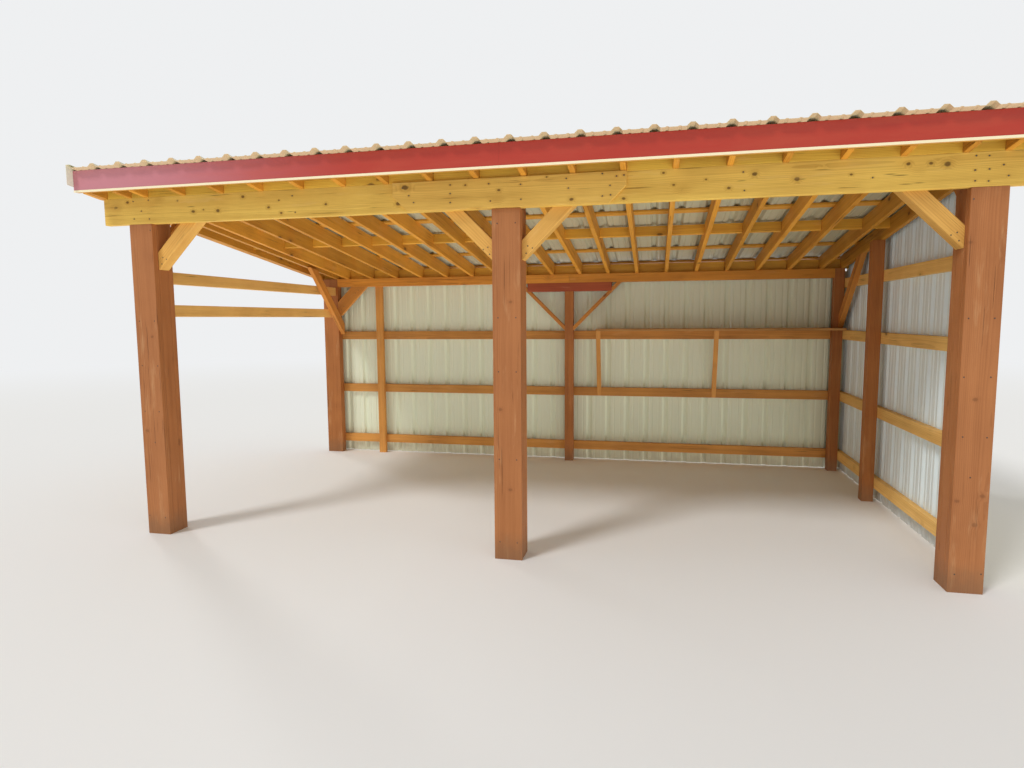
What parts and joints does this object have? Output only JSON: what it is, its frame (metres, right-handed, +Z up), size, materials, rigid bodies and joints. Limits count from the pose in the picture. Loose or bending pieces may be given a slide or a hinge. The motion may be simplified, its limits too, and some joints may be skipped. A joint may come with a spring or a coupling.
{
  "type": "open-fronted log store",
  "caption": "Open-fronted timber pole shed for firewood: single-pitch ribbed steel roof, knee-braced posts, steel-clad back and one clad end.",
  "frame": {"origin": "on the ground, under the middle of the roof's outline in plan", "axes": "+X along the front to the clad end, which is on the right seen from the front; +Y from the open front to the back wall; +Z up"},
  "size_m": [6.704, 3.9812, 2.9247],
  "materials": {
    "post_timber": "rough-sawn softwood, red-brown stain",
    "header_timber": "rough-sawn pine with dark knots, honey stain",
    "splice_timber": "rough-sawn pine board, honey stain",
    "brace_timber": "rough-sawn softwood, red-brown stain",
    "rear_post_timber": "rough-sawn softwood, red-brown stain",
    "beam_timber": "rough-sawn softwood, orange-brown stain",
    "rear_brace_timber": "rough-sawn softwood, brown stain",
    "rafter_timber": "rough-sawn softwood, orange-brown stain",
    "blocking_timber": "rough-sawn softwood, orange-brown stain",
    "purlin_timber": "rough-sawn boards, orange-brown stain",
    "fascia_timber": "rough-sawn board, orange-brown stain",
    "girt_timber": "rough-sawn softwood, brown stain",
    "shelf_timber": "planed board",
    "fascia_steel": "barn-red baked paint",
    "trim_steel": "cream baked paint",
    "roof_steel": "cream baked paint",
    "wall_steel": "pale grey-cream baked paint"
  },
  "bodies": {
    "root": {"front_left_post": "post_timber", "front_centre_post": "post_timber", "front_right_post": "post_timber", "front_header_left": "header_timber", "front_header_right": "header_timber", "header_splice_board": "splice_timber", "front_left_brace": "brace_timber", "front_centre_left_brace": "brace_timber", "front_centre_right_brace": "brace_timber", "front_right_brace": "brace_timber", "rear_left_post": "rear_post_timber", "rear_centre_post": "rear_post_timber", "rear_right_post": "rear_post_timber", "right_side_post": "rear_post_timber", "rear_beam_left": "beam_timber", "rear_beam_right": "beam_timber", "rear_bolster": "beam_timber", "rear_left_brace": "rear_brace_timber", "rear_left_strut": "rear_brace_timber", "rear_right_strut": "rear_brace_timber", "left_front_side_brace": "rear_brace_timber", "left_rear_side_brace": "rear_brace_timber", "right_front_side_brace": "rear_brace_timber", "right_rear_side_brace": "rear_brace_timber", "rafters": "rafter_timber", "barge_rafter_left": "rafter_timber", "barge_rafter_right": "rafter_timber", "front_blocking": "blocking_timber", "midspan_blocking": "blocking_timber", "rear_blocking": "blocking_timber", "purlins": "purlin_timber", "sub_fascia": "fascia_timber", "rear_girts": "girt_timber", "right_girts": "girt_timber", "left_girts": "girt_timber", "rear_stud": "girt_timber", "shelf_hangers": "girt_timber", "shelf_board": "shelf_timber", "fascia_trim": "fascia_steel", "rake_trim_left": "trim_steel", "rake_trim_right": "trim_steel", "corner_trim": "trim_steel", "roof_sheets": "roof_steel", "back_wall_sheets": "wall_steel", "right_wall_sheets": "wall_steel"}
  },
  "joints": []
}
